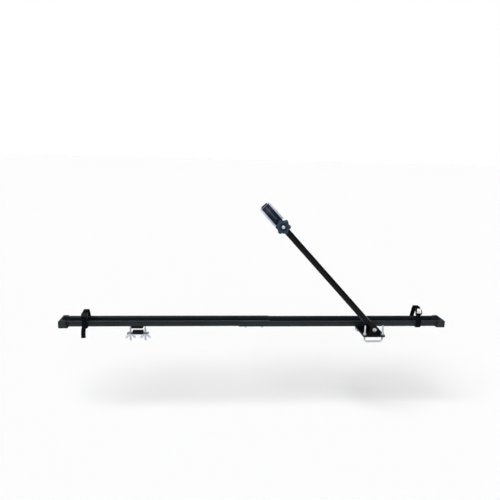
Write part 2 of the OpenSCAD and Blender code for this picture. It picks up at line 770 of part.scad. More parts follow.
module buckle(s) {
  half = strap_w / 2 + 1;
  wide = half + buckle_t;
  back = -strap_t / 2 - seat_gap;
  end = buckle_len / 2;
  cheek_out = pin_out + 4;
  color([0.06, 0.06, 0.07]) on_buckle(s) difference() {
    union() {
      translate([-wide, back - buckle_t, -end]) cube([2 * wide, buckle_t, buckle_len]);
      for (x = [-wide, half]) along_x(x, x + buckle_t) polygon(loop([[back, -end, 0], [back, end, 0],
        [-over - 1, end, 3], [-cheek_out, pin_up + 6, 5], [-cheek_out, pin_up - 7, 5],
        [-over - 1, -end, 2]]));
    }
    translate([0, 0, rivet_z]) rod_y(-2 * strap_t - buckle_t, 0, rivet_r + seat_gap);
    pin_rod(2 * strap_w, pin_r + seat_gap);
  }
}
module buckle_pin(s) {
  reach = strap_w / 2 + 1 + buckle_t + 0.8;
  color("silver") on_buckle(s) pin_rod(reach, pin_r);
}
module buckle_lever(s, shade) {
  w = strap_w - 1;
  face = 0.4 - lever_hub;
  lever_t = 2.2;
  curl = 4;
  color(shade) on_buckle(s) difference() {
    translate([-w / 2, -pin_out, pin_up]) rotate([90, 0, 90]) linear_extrude(w) {
      circle(lever_hub);
      polygon(loop([[face + lever_t, 0, 0], [face + lever_t, lever_len - curl, 4],
        [face + 0.2, lever_len, 0.9], [face - 2.3, lever_len, 0.9], [face, lever_len - curl, 4],
        [face, 0, 0]]));
    }
    pin_rod(2 * strap_w, pin_r + run_gap);
  }
}
module rear_strap() {
  strap(REAR);
}
module rear_buckle() {
  buckle(REAR);
}
module rear_buckle_pin() {
  buckle_pin(REAR);
}
module rear_buckle_lever() {
  buckle_lever(REAR, [0.06, 0.06, 0.07]);
}
module rear_strap_rivet() {
  rivet(REAR);
}
module front_strap() {
  strap(FRONT);
}
module front_buckle() {
  buckle(FRONT);
}
module front_buckle_pin() {
  buckle_pin(FRONT);
}
module front_buckle_lever() {
  buckle_lever(FRONT, "gainsboro");
}
module front_strap_rivet() {
  rivet(FRONT);
}

rear_rail();
front_rail();
rear_end_cap();
front_end_cap();
splice_bolts();
splice_washers();
splice_nuts();
rear_bar_pad();
rear_clamp_bolts();
rear_clamp_plate();
rear_clamp_liner();
rear_clamp_washers();
rear_wing_nut_inner();
rear_wing_nut_outer();
front_bar_pad();
arm_bracket();
rail_u_bolt();
bracket_u_bolt();
u_bolt_washers();
u_bolt_nuts();
pivot_bolt();
pivot_washer();
pivot_nut();
arm_tube();
arm_foot_plug();
pivot_bush();
head_block();
throat_pad();
front_jaw();
front_jaw_pad();
jaw_screws();
rear_jaw();
rear_jaw_pad();
clamp_bolt();
guide_pin();
knob_washer();
clamp_knob();
knob_insert();
rear_strap();
rear_buckle();
rear_buckle_pin();
rear_buckle_lever();
rear_strap_rivet();
front_strap();
front_buckle();
front_buckle_pin();
front_buckle_lever();
front_strap_rivet();
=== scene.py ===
import json
import math

import bmesh
import bpy
import numpy as np
from mathutils import Matrix, Vector


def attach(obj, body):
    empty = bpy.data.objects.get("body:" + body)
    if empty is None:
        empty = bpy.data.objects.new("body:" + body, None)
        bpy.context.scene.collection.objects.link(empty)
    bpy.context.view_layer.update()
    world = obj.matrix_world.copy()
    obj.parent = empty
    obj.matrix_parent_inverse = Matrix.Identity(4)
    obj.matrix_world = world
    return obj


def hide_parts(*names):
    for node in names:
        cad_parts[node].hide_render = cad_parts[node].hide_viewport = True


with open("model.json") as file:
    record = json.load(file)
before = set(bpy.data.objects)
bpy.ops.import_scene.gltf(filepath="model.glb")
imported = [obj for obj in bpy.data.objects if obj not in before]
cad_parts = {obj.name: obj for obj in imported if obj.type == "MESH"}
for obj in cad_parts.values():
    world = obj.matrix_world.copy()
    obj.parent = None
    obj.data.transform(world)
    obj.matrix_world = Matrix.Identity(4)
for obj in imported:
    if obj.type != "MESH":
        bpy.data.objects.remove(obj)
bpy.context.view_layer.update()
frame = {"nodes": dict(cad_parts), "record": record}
MM = 0.001

# Sizes of the CAD model, in millimetres: rail and bars
SHEET, RAIL_W, LIP = 1.5, 48.0, 5.0
FRONT_Z, REAR_Z, LIP_TOP = 5.0, 6.5, 28.5
SPLICE_X = (-421.5, -364.5)
REAR_BAR_X, BAR_W, BAR_H = -790.0, 40.0, 16.0
REAR_BOLT_X = {"outer": -815.0, "inner": -765.0}
REAR_BOLT_END, REAR_THREAD_TOP = -50.0, -6.0
LINER_T, CLAMP_T, CLAMP_D = 8.0, 3.0, 26.0
U_LEG, U_LOW, U_BEND = 30.0, -19.0, 9.0
U_THREAD_UP, U_THREAD_LOW = 32.0, -9.0
U_Y = {"bracket": -103.0, "rail": 0.0}

# Arm and frame clamp; heights are along the arm from its pivot
PIVOT_X, PIVOT_Z = 5.0, 18.0
EAR_NEAR, EAR_FAR = 91.5, 52.5
ARM_RISE = 47.0
KNOB_AT, GRIP_AT, BLOCK_TOP = 464.0, 514.0, 478.0
JAW_R, JAW_T, TIP_T, JAW_WRAP = 36.0, 7.0, 5.0, 58.0
JAW_W = {"front": 28.0, "rear": 24.0}
JAW_BODY = {"front": "arm", "rear": "sliding_jaw"}
JAW_SIDE = {"front": -1, "rear": 1}
RIB_H, RIB_W = 4.0, 9.0
PAD_T, PAD_SIDE, PAD_GRIP = 3.0, 6.5, 4.0
THROAT_Y = (-32.5, 16.5)
KNOB_GAP, KNOB_BACK = 0.3, 44.5
KNOB_R, KNOB_T, KNOB_VALLEY, LOBES = 25.5, 18.0, 0.80, 6

# Fasteners
M6_R, M8_R = 3.0, 4.0
M6_PITCH, M8_PITCH = 1.0, 1.25
WASHER_T = 1.2
WASHER6_R, WASHER6_BORE, WASHER8_R, WASHER8_BORE = 6.6, 3.3, 8.4, 4.3
NUT6_H, NUT6_R, NUT6_BORE = 5.1, 5.76, 3.05
NUT8_H, NUT8_R, NUT8_BORE = 8.0, 7.52, 4.05
HEAD6_R, HEAD6_H = 7.5, 3.3
BOLT_PAST = 4.0

# Wheel straps and buckles
STRAP_X = {"rear": -960.0, "front": 183.0}
STRAP_TOP = {"rear": 58.0, "front": 72.0}
STRAP_TAIL = {"rear": -28.0, "front": 8.0}
STRAP_W, STRAP_T, STRAP_GAP = 15.5, 2.0, 0.4
CROWN_HALF = 12.0
BUCKLE_LEN, BUCKLE_DROP, BUCKLE_T, BUCKLE_ROOM = 22.0, 5.0, 1.2, 0.3

# Finish of the modelled pieces: parts of one piece sink into each other a little
SUNK = 0.1
REACH_END = 0.01  # added to a range's end so that the end is reached
SMOOTH_ANGLE = math.radians(38)
ROD_SIDES, FINE_SIDES, HEX_SIDES = 20, 40, 72


# Camera fitted to the photograph: place in metres, angles in degrees
CAMERA_AT = (-0.5590, -1.6889, 0.6035)
CAMERA_YAW, CAMERA_PITCH, CAMERA_ROLL = 4.940, 11.157, 1.494
SENSOR, LENS = 36.0, 36.892
CLIP_NEAR, CLIP_FAR = 0.05, 200.0


def place_camera():
    yaw, pitch, roll = (math.radians(a) for a in (CAMERA_YAW, CAMERA_PITCH, CAMERA_ROLL))
    level = Vector((math.cos(yaw), -math.sin(yaw), 0))
    ahead = Vector((math.sin(yaw) * math.cos(pitch), math.cos(yaw) * math.cos(pitch),
                    -math.sin(pitch)))
    above = level.cross(ahead)
    right = level * math.cos(roll) + above * math.sin(roll)
    up = above * math.cos(roll) - level * math.sin(roll)
    camera = bpy.data.objects.new("camera", bpy.data.cameras.new("camera"))
    bpy.context.scene.collection.objects.link(camera)
    camera.data.sensor_width = SENSOR
    camera.data.lens = LENS
    camera.data.clip_start, camera.data.clip_end = CLIP_NEAR, CLIP_FAR
    turn = Matrix((right, up, -ahead)).transposed().to_4x4()
    turn.translation = Vector(CAMERA_AT)
    camera.matrix_world = turn
    bpy.context.scene.camera = camera


place_camera()


# Materials: a small helper for node graphs, then one recipe for each finish
class Graph:
    def __init__(self, name):
        self.mat = bpy.data.materials.new(name)
        self.mat.use_nodes = True
        self.tree = self.mat.node_tree
        self.shader = self.tree.nodes["Principled BSDF"]
        self.coords = self.node("ShaderNodeTexCoord").outputs["Object"]

    def node(self, kind, inputs=None, **settings):
        n = self.tree.nodes.new(kind)
        for key, value in settings.items():
            setattr(n, key, value)
        for key, value in (inputs or {}).items():
            self.feed(n.inputs[key], value)
        return n

    def feed(self, socket, value):
        if isinstance(value, bpy.types.NodeSocket):
            self.tree.links.new(value, socket)
        else:
            socket.default_value = value

    def shade(self, **inputs):
        for key, value in inputs.items():
            self.feed(self.shader.inputs[key.replace("_", " ")], value)

    def noise(self, scale, detail, rough=0.55, vector=None):
        n = self.node("ShaderNodeTexNoise", {"Scale": scale, "Detail": detail, "Roughness": rough,
                                             "Vector": vector or self.coords})
        return n.outputs["Fac"]

    def stretch(self, scale):
        n = self.node("ShaderNodeMapping", {"Vector": self.coords, "Scale": scale})
        return n.outputs["Vector"]

    def ramp(self, fac, stops):
        n = self.node("ShaderNodeValToRGB", {"Fac": fac})
        stops_made = n.color_ramp.elements
        for _ in stops[2:]:
            stops_made.new(0.5)
        for element, (at, colour) in zip(stops_made, stops):
            element.position = at
            element.color = opaque(colour)
        return n.outputs["Color"]

    def span(self, fac, low, high, out_low, out_high):
        n = self.node("ShaderNodeMapRange", {"Value": fac, "From Min": low, "From Max": high,
                                             "To Min": out_low, "To Max": out_high})
        return n.outputs["Result"]

    def math(self, kind, a, b=0.0):
        n = self.node("ShaderNodeMath", operation=kind)
        self.feed(n.inputs[0], a)
        self.feed(n.inputs[1], b)
        return n.outputs["Value"]

    def mix(self, fac, a, b):
        n = self.node("ShaderNodeMix", data_type="RGBA")
        self.feed(n.inputs["Factor"], fac)
        self.feed(n.inputs["A"], a)
        self.feed(n.inputs["B"], b)
        return n.outputs["Result"]

    def bump(self, height, strength, distance):
        n = self.node("ShaderNodeBump", {"Height": height, "Strength": strength, "Distance": distance})
        self.shade(Normal=n.outputs["Normal"])

    def edges(self, radius, low, high):
        """1 along sharp edges, 0 on open faces."""
        bevel = self.node("ShaderNodeBevel", {"Radius": radius}, samples=4)
        flat = self.node("ShaderNodeNewGeometry").outputs["Normal"]
        dot = self.node("ShaderNodeVectorMath", {0: bevel.outputs["Normal"], 1: flat},
                        operation="DOT_PRODUCT")
        return self.span(dot.outputs["Value"], high, low, 0.0, 1.0)

    def painted_hollow_shade(self, reach, darkest):
        """Painted shade: 1 on open faces, falling to darkest deep inside the piece's own channels and
        corners.
        """
        sky = self.node("ShaderNodeAmbientOcclusion", {"Distance": reach}, samples=8, only_local=True)
        return self.span(sky.outputs["AO"], 0.5, 0.95, darkest, 1.0)


def tint(colour, k):
    return tuple(c * k for c in colour)


def opaque(colour):
    return (*colour, 1.0)


def paint(name, colour, rough, peel, worn, shine):
    """Powder coat or paint: orange-peel skin, faint dust, painted shade in its own channels and corners,
    and edges lighter from wear and a painted highlight.
    """
    g = Graph(name)
    cloud = g.noise(9.0, 5.0)
    speck = g.noise(620.0, 2.0)
    body = g.ramp(cloud, [(0.30, tint(colour, 0.82)), (0.70, tint(colour, 1.20))])
    # Painted shade: deep in the piece's own channels and corners the colour falls towards a tenth of itself
    body = g.mix(g.painted_hollow_shade(0.05, 0.4), opaque(tint(colour, 0.1)), body)
    # Lighter sharp edges: partly rubbed wear, partly a painted highlight line along the edges and lips
    rubbed = g.edges(0.0009, 0.80, 0.985)
    patches = g.span(g.noise(140.0, 4.0), 0.35, 0.65, 0.2, 1.0)
    g.shade(Base_Color=g.mix(g.math("MULTIPLY", rubbed, patches), body, opaque(worn)))
    dust = g.math("ADD", cloud, g.math("MULTIPLY", speck, 0.5))
    g.shade(Roughness=g.span(dust, 0.4, 1.1, rough - 0.06, rough + 0.10))
    g.shade(Specular_IOR_Level=shine)
    g.bump(g.noise(peel, 2.0), 0.12, 0.0004)
    return g.mat


def zinc(name, colour, rough, grain):
    """Plated steel: a faint crystal spangle, a slightly bluish and yellowish film, fine grain."""
    g = Graph(name)
    cells = g.node("ShaderNodeTexVoronoi", {"Vector": g.coords, "Scale": 420.0}).outputs["Distance"]
    film = g.noise(60.0, 4.0)
    warm = (colour[0] * 1.02, colour[1] * 0.99, colour[2] * 0.93)
    cool = (colour[0] * 0.90, colour[1] * 0.95, colour[2] * 1.02)
    base = g.ramp(film, [(0.32, cool), (0.5, colour), (0.70, warm)])
    dull = g.math("MULTIPLY", g.span(cells, 0.0, 0.6, 0.35, 0.0), g.span(film, 0.4, 0.7, 0.2, 1.0))
    g.shade(Base_Color=g.mix(dull, base, opaque(tint(colour, 0.6))), Metallic=1.0)
    g.shade(Roughness=g.span(g.math("ADD", film, cells), 0.4, 1.3, rough - 0.06, rough + 0.12))
    g.bump(g.noise(grain, 3.0), 0.10, 0.0002)
    return g.mat


def brushed(name, colour, rough):
    """Bright pressed steel with fine lengthwise brush marks."""
    g = Graph(name)
    marks = g.noise(900.0, 4.0, 0.6, g.stretch((0.06, 1.0, 1.0)))
    cloud = g.noise(70.0, 3.0)
    tones = [(0.30, tint(colour, 0.80)), (0.70, tint(colour, 1.08))]
    g.shade(Base_Color=g.ramp(marks, tones), Metallic=1.0)
    g.shade(Roughness=g.span(g.math("ADD", marks, cloud), 0.7, 1.3, rough - 0.05, rough + 0.12))
    g.bump(marks, 0.15, 0.0002)
    return g.mat


def moulded(name, colour, rough, grain, shine):
    """Moulded plastic: a fine spark grain, soft mottling, paler rubbed edges."""
    g = Graph(name)
    cloud = g.noise(26.0, 4.0)
    spark = g.noise(grain, 2.0, 0.5)
    body = g.ramp(cloud, [(0.30, tint(colour, 0.85)), (0.72, tint(colour, 1.18))])
    rubbed = g.edges(0.0012, 0.75, 0.98)
    patches = g.span(g.noise(90.0, 4.0), 0.4, 0.7, 0.1, 0.8)
    g.shade(Base_Color=g.mix(g.math("MULTIPLY", rubbed, patches), body, opaque(tint(colour, 2.2))))
    g.shade(Roughness=g.span(g.math("ADD", cloud, spark), 0.7, 1.3, rough - 0.05, rough + 0.08))
    g.shade(Specular_IOR_Level=shine)
    g.bump(spark, 0.18, 0.0002)
    return g.mat


def rubber(name, colour, bloomed):
    """Matt rubber: a dull bloom in patches over a fine sandy skin."""
    g = Graph(name)
    bloom = g.noise(45.0, 6.0, 0.65)
    skin = g.noise(1500.0, 2.0)
    g.shade(Base_Color=g.ramp(bloom, [(0.35, colour), (0.75, bloomed)]))
    g.shade(Roughness=g.span(g.math("ADD", bloom, skin), 0.7, 1.3, 0.66, 0.88))
    g.shade(Specular_IOR_Level=0.15)
    g.bump(skin, 0.22, 0.0003)
    return g.mat


def webbing(name, colour):
    """Woven tape: ribs that zigzag along the tape, with threads across them."""
    rib_pitch, zigzag_w, thread_pitch = 1.5, 3.0, 0.9
    g = Graph(name)
    uv = g.node("ShaderNodeUVMap", uv_map="tape").outputs["UV"]
    parts = g.node("ShaderNodeSeparateXYZ", {"Vector": uv})
    along, across = parts.outputs["X"], parts.outputs["Y"]
    slanted = g.math("ADD", along, g.math("PINGPONG", across, zigzag_w))
    ribs = g.math("SINE", g.math("MULTIPLY", slanted, 2 * math.pi / rib_pitch))
    threads = g.math("SINE", g.math("MULTIPLY", across, 2 * math.pi / thread_pitch))
    weave = g.math("ADD", ribs, g.math("MULTIPLY", threads, 0.6))
    fuzz = g.noise(1800.0, 3.0)
    worn = g.noise(60.0, 4.0)
    fibres = g.math("ADD", g.math("MULTIPLY", fuzz, 0.4), worn)
    tone = g.math("ADD", g.math("MULTIPLY", weave, 0.16), fibres)
    tones = [(0.15, tint(colour, 0.55)), (0.85, tint(colour, 1.75))]
    g.shade(Base_Color=g.ramp(g.span(tone, 0.1, 1.4, 0.0, 1.0), tones))
    g.shade(Roughness=g.span(worn, 0.3, 0.7, 0.62, 0.80), Sheen_Weight=0.004, Sheen_Roughness=0.4)
    g.shade(Specular_IOR_Level=0.025)
    g.bump(g.math("ADD", weave, g.math("MULTIPLY", fuzz, 0.8)), 0.55, 0.00025)
    return g.mat


MATERIALS = {
    # The rail's edge colour is many times lighter than its coat, so its edges and lips also carry a painted
    # highlight line
    "rail_steel": paint("rail_powder_coat", (0.0132, 0.0186, 0.0224), rough=0.36, peel=520.0,
                        worn=(0.110, 0.128, 0.150), shine=0.14),
    "arm_steel": paint("arm_gloss_paint", (0.0016, 0.0020, 0.0042), rough=0.22, peel=300.0,
                       worn=(0.030, 0.033, 0.038), shine=0.12),
    "bracket_steel": paint("bracket_powder_coat", (0.0038, 0.0042, 0.0050), rough=0.46, peel=560.0,
                           worn=(0.040, 0.043, 0.048), shine=0.11),
    "zinc": zinc("zinc_plate", (0.58, 0.62, 0.66), rough=0.30, grain=1100.0),
    "buckle_steel": brushed("buckle_steel", (0.94, 0.93, 0.91), rough=0.42),
    "black_plastic": moulded("cap_moulding", (0.0120, 0.0165, 0.0195), rough=0.46, grain=1400.0,
                             shine=0.20),
    "clamp_plastic": moulded("clamp_moulding", (0.0042, 0.0058, 0.0105), rough=0.42, grain=1100.0,
                             shine=0.14),
    "knob_plastic": moulded("knob_moulding", (0.0135, 0.0275, 0.0540), rough=0.38, grain=1100.0,
                            shine=0.22),
    "pad_rubber": rubber("pale_rubber", (0.38, 0.43, 0.57), bloomed=(0.48, 0.52, 0.63)),
    "rubber": rubber("black_rubber", (0.0060, 0.0060, 0.0064), bloomed=(0.0114, 0.0114, 0.0122)),
    "strap": webbing("black_webbing", (0.0028, 0.0036, 0.0068)),
}
SLOT_OF = {s["node"]: s["material_slot"] for s in frame["record"]["subparts"]}

# CAD nodes that stay: the slot's material, smooth shading and edges eased by so many millimetres
EASED = {
    "rear_rail": 0.35, "front_rail": 0.35, "rear_end_cap": 0.7, "front_end_cap": 0.7,
    "front_bar_pad": 0.4, "rear_clamp_plate": 0.5, "arm_bracket": 0.5, "arm_tube": 0.3,
    "arm_foot_plug": 0.4, "pivot_bush": 0.3, "head_block": 1.0, "front_jaw": 1.0, "rear_jaw": 1.0,
    "guide_pin": 0.5, "knob_insert": 0.3, "rear_buckle": 0.25, "front_buckle": 0.25,
    "rear_buckle_pin": 0.4, "front_buckle_pin": 0.4, "rear_buckle_lever": 0.3, "front_buckle_lever": 0.3,
}
EASE_ANGLE, EASE_STEPS = math.radians(35), 2
FLAT_ANGLE = math.radians(0.4)
WELD_M = 2e-6


def ease(node, width):
    obj = frame["nodes"][node]
    mesh = obj.data
    mesh.materials.clear()
    mesh.materials.append(MATERIALS[SLOT_OF[node]])
    if "custom_normal" in mesh.attributes:
        mesh.attributes.remove(mesh.attributes["custom_normal"])
    mesh.polygons.foreach_set("use_smooth", [True] * len(mesh.polygons))
    weld = obj.modifiers.new("weld", "WELD")
    weld.merge_threshold = WELD_M
    flat = obj.modifiers.new("flat", "DECIMATE")
    flat.decimate_type = "DISSOLVE"
    flat.angle_limit = FLAT_ANGLE
    bevel = obj.modifiers.new("ease", "BEVEL")
    bevel.width = width * MM
    bevel.segments = EASE_STEPS
    bevel.limit_method = "ANGLE"
    bevel.angle_limit = EASE_ANGLE
    bevel.harden_normals = True
    bevel.use_clamp_overlap = True


for node_name, edge_width in EASED.items():
    ease(node_name, edge_width)


# Modelled pieces: a form collects points in millimetres and faces
class Form:
    def __init__(self):
        self.points, self.faces = [], []

    def skin(self, rows, matrix=None, closed=False):
        """A skin over rings of points; closed joins the last to the first, or else both ends are capped."""
        rows = np.asarray(rows, float)
        if matrix is not None:
            rows = rows @ np.array(matrix.to_3x3()).T + np.array(matrix.translation)
        m, n = rows.shape[:2]
        start = len(self.points)
        self.points.extend(rows.reshape(-1, 3).tolist())
        for i in range(m if closed else m - 1):
            here, there = start + i * n, start + (i + 1) % m * n
            for j in range(n):
                k = (j + 1) % n
                self.faces.append((here + j, here + k, there + k, there + j))
        if not closed:
            last = start + (m - 1) * n
            self.faces.append(tuple(range(start, start + n))[::-1])
            self.faces.append(tuple(range(last, last + n)))


def build(name, form, slot, body, replaces=()):
    mesh = bpy.data.meshes.new(name)
    mesh.from_pydata([tuple(c * MM for c in p) for p in form.points], [], form.faces)
    work = bmesh.new()
    work.from_mesh(mesh)
    bmesh.ops.recalc_face_normals(work, faces=work.faces)
    work.to_mesh(mesh)
    work.free()
    mesh.polygons.foreach_set("use_smooth", [True] * len(mesh.polygons))
    mesh.set_sharp_from_angle(angle=SMOOTH_ANGLE)
    mesh.materials.append(MATERIALS[slot])
    obj = bpy.data.objects.new(name, mesh)
    bpy.context.scene.collection.objects.link(obj)
    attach(obj, body)
    if replaces:
        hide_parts(*replaces)
    return obj


def frame_at(origin, axis):
    """Puts the z axis along axis, from origin."""
    m = Vector(axis).to_track_quat("Z", "Y").to_matrix().to_4x4()
    m.translation = Vector(origin)
    return m


TILT = math.radians(ARM_RISE - 90)
ON_ARM = Matrix.Translation((PIVOT_X, 0, PIVOT_Z)) @ Matrix.Rotation(TILT, 4, "Y")


def round_angles(n):
    return np.linspace(0, 2 * math.pi, n, endpoint=False)


def polar(radius, angles, z):
    """A ring of points; radius and z are numbers, or lists with one for each angle."""
    return np.stack([radius * np.cos(angles), radius * np.sin(angles), z * np.ones(len(angles))], -1)


def spun(form, profile, matrix, sides, closed=False):
    """Turns a profile of (radius, z) points round the z axis of matrix."""
    a = round_angles(sides)
    form.skin([polar(r, a, z) for r, z in profile], matrix, closed)


# Threads: depth, crest, flank and run-out are shares of the pitch
THREAD_STEPS, THREAD_DEPTH, THREAD_CREST, THREAD_FLANK, THREAD_RUN_OUT = 6, 0.46, 0.15, 0.7, 1.5
ROD_CHAMFER = 0.7


def threaded(form, radius, z0, z1, pitch, matrix, thread=None):
    """A rod along z from z0 to z1 with a thread between the two heights given, and eased ends."""
    t0, t1 = thread or (z0, z1)
    zs = sorted({z0, z1, *np.arange(t0, t1, pitch / THREAD_STEPS).round(4), t1})
    a = round_angles(ROD_SIDES)
    rows = []
    for z in zs:
        saw = np.abs(2 * ((z / pitch - a / (2 * math.pi)) % 1.0) - 1)
        cut = 1 - np.clip((saw - THREAD_CREST) / THREAD_FLANK, 0, 1)
        room = min(z - t0 if t0 > z0 else math.inf, t1 - z if t1 < z1 else math.inf)
        fade = min(1.0, max(0.0, room / (THREAD_RUN_OUT * pitch)))
        end = min(z - z0, z1 - z)
        r = np.minimum(radius - THREAD_DEPTH * pitch * cut * fade, radius - ROD_CHAMFER + end)
        rows.append(polar(r, a, z))
    form.skin(rows, matrix)


def hexagon(radius, angles):
    sector = math.pi / 3
    return radius * math.cos(sector / 2) / np.cos((angles % sector) - sector / 2)


def hex_rows(radius, z0, z1, bore=None):
    """Rings of a chamfered hexagon from z0 to z1: round a bore, or solid."""
    face_share, chamfer, flat, lead = 0.90, math.radians(30), 0.05, 0.35
    a = round_angles(HEX_SIDES)
    outer = hexagon(radius, a)
    circle = radius * face_share
    drop = np.maximum(outer - circle, 0) * math.tan(chamfer) + flat
    face = np.minimum(circle, outer - flat)
    rows = [polar(face, a, z0), polar(outer, a, z0 + drop), polar(outer, a, z1 - drop), polar(face, a, z1)]
    if bore:
        rows = [polar(bore, a, z0 + lead), polar(bore + lead, a, z0), *rows,
                polar(bore + lead, a, z1), polar(bore, a, z1 - lead)]
    return rows


def hex_nut(form, z, radius, height, bore, matrix):
    form.skin(hex_rows(radius, z, z + height, bore), matrix, closed=True)


def washer(form, z, radius, bore, matrix):
    e, top = 0.18, z + WASHER_T
    spun(form, [(bore, z + e), (bore + e, z), (radius - e, z), (radius, z + e), (radius, top - e),
                (radius - e, top), (bore + e, top), (bore, top - e)], matrix, FINE_SIDES, closed=True)


def dome(form, z, radius, height, matrix):
    steps, flat_share, edge_in, edge_up = 8, 0.6, 0.4, 0.35
    ball = (radius ** 2 + height ** 2) / (2 * height)
    profile = [(radius - edge_in, z), (radius, z + edge_up)]
    for i in range(steps):
        r = radius * (1 - (i + 1) / (steps + flat_share))
        profile.append((r, z + height - ball + math.sqrt(ball ** 2 - r ** 2)))
    spun(form, profile, matrix, FINE_SIDES)


def rail_bolt(form, end, thread_top, matrix):
    """A domed bolt through the rail's floor, threaded from its end up to thread_top."""
    seat = REAR_Z + SHEET
    threaded(form, M6_R, end, seat + SUNK, M6_PITCH, matrix, (end, thread_top))
    dome(form, seat, HEAD6_R, HEAD6_H, matrix)


# Splice bolts, washers and nuts
def splice():
    bolts, washers, nuts = Form(), Form(), Form()
    washer_z = FRONT_Z - WASHER_T
    nut_z = washer_z - NUT6_H
    for x in SPLICE_X:
        at = Matrix.Translation((x, 0, 0))
        rail_bolt(bolts, nut_z - BOLT_PAST, FRONT_Z, at)
        washer(washers, washer_z, WASHER6_R, WASHER6_BORE, at)
        hex_nut(nuts, nut_z, NUT6_R, NUT6_H, NUT6_BORE, at)
    build("splice_bolts_threaded", bolts, "zinc", "rail", ["splice_bolts"])
    build("splice_washers_eased", washers, "zinc", "rail", ["splice_washers"])
    build("splice_nuts_chamfered", nuts, "zinc", "rail", ["splice_nuts"])


# Rear clamp: bolts, washers and cast wing nuts. A wing's outline is given by tables over the distance out
LINER_LOW = -BAR_H - LINER_T
WING_NUT_TOP = LINER_LOW - CLAMP_T - WASHER_T
WING_HUB = ((3.05, -0.4), (3.5, 0), (5.3, 0), (5.76, -0.5), (5.5, -6.0), (4.7, -7.2), (3.5, -7.2),
            (3.05, -6.8))
WING_OUT = (3.6, 5.0, 6.5, 8.5, 10.5, 12.5, 14.5, 16.0, 17.2, 17.8, 18.0)
WING_TOP = ((3.6, 6.8, 12, 16, 18), (-2.4, -2.5, -4.2, -6.0, -9.4))
WING_LOW = ((3.6, 5.8, 8, 10, 14, 16.5, 18), (-6.6, -6.9, -10.2, -12.6, -14.0, -14.2, -11.4))
WING_THICK = ((3.6, 6, 10, 16, 18), (3.4, 2.6, 2.5, 2.6, 1.4))
WING_SIDES, WING_ROUNDING = 24, 0.55


def rear_clamp():
    bolts, washers = Form(), Form()
    for x in REAR_BOLT_X.values():
        at = Matrix.Translation((x, 0, 0))
        rail_bolt(bolts, REAR_BOLT_END, REAR_THREAD_TOP, at)
        washer(washers, WING_NUT_TOP, WASHER6_R, WASHER6_BORE, at)
    build("rear_clamp_bolts_threaded", bolts, "zinc", "rail", ["rear_clamp_bolts"])
    build("rear_clamp_washers_eased", washers, "zinc", "rear_clamp", ["rear_clamp_washers"])
    for side, x in REAR_BOLT_X.items():
        wing_nut(side, Matrix.Translation((x, 0, WING_NUT_TOP)))


def wing_nut(side, at):
    form = Form()
    spun(form, WING_HUB, at, FINE_SIDES, closed=True)
    tops, lows, thicks = (np.interp(WING_OUT, *table) for table in (WING_TOP, WING_LOW, WING_THICK))
    a = round_angles(WING_SIDES)
    across, up = (np.sign(c) * np.abs(c) ** WING_ROUNDING for c in (np.cos(a), np.sin(a)))
    for way in (1, -1):
        rows = []
        for x, top, low, thick in zip(WING_OUT, tops, lows, thicks):
            z = (top + low) / 2 + (top - low) / 2 * up
            rows.append(np.stack([np.full(WING_SIDES, way * x), thick / 2 * across, z], -1))
        form.skin(rows, at)
    build(f"wing_nut_{side}_cast", form, "zinc", f"wing_nut_{side}", [f"rear_wing_nut_{side}"])


# Rubber blocks above and below the rear bar, with grooves round them
def grooved_block(name, size, z, body, node):
    pitch, groove, sharpness = 6.0, 0.7, 6
    round_r, arc_points, end_ease, step = 1.2, 5, 0.8, 0.25
    half = np.array(size) / 2
    arc = np.linspace(0, math.pi / 2, arc_points)
    rows = []
    for x in np.arange(-half[0], half[0] + REACH_END, step):
        cut = groove * max(0.0, math.cos(2 * math.pi * x / pitch)) ** sharpness
        cut = max(cut, end_ease - (half[0] - abs(x)))
        w, h = half[1] - cut - round_r, half[2] - cut - round_r
        row = []
        for quarter, (sy, sz) in enumerate(((1, 1), (-1, 1), (-1, -1), (1, -1))):
            for t in arc + quarter * math.pi / 2:
                row.append((x, sy * w + round_r * math.cos(t), sz * h + round_r * math.sin(t)))
        rows.append(row)
    form = Form()
    form.skin(np.array(rows) + np.array((REAR_BAR_X, 0, z)))
    build(name, form, "rubber", body, [node])


# U bolts with threaded legs, their washers and nuts; each nut stops at its own angle
NUT_TURN, NUT_TURN_LEG = {"bracket": -1.03, "rail": 0.0}, 0.3
BEND_STEPS = 12


def u_bolts():
    tops = {"bracket": FRONT_Z + U_THREAD_UP, "rail": REAR_Z + WASHER_T + NUT6_H + BOLT_PAST}
    seats = {"bracket": FRONT_Z, "rail": FRONT_Z + SHEET}
    washers, nuts = Form(), Form()
    for key, y in U_Y.items():
        rod = Form()
        for way in (1, -1):
            at = Matrix.Translation((way * U_LEG, y, 0))
            threaded(rod, M6_R, U_LOW + U_BEND, tops[key], M6_PITCH, at, (U_THREAD_LOW, tops[key]))
            washer(washers, seats[key], WASHER6_R, WASHER6_BORE, at)
            spin = Matrix.Rotation(NUT_TURN[key] + NUT_TURN_LEG * way, 4, "Z")
            hex_nut(nuts, seats[key] + WASHER_T, NUT6_R, NUT6_H, NUT6_BORE, at @ spin)
        u_bow(rod, y)
        build(f"{key}_u_bolt_threaded", rod, "zinc", "rail", [f"{key}_u_bolt"])
    build("u_bolt_washers_eased", washers, "zinc", "rail", ["u_bolt_washers"])
    build("u_bolt_nuts_chamfered", nuts, "zinc", "rail", ["u_bolt_nuts"])


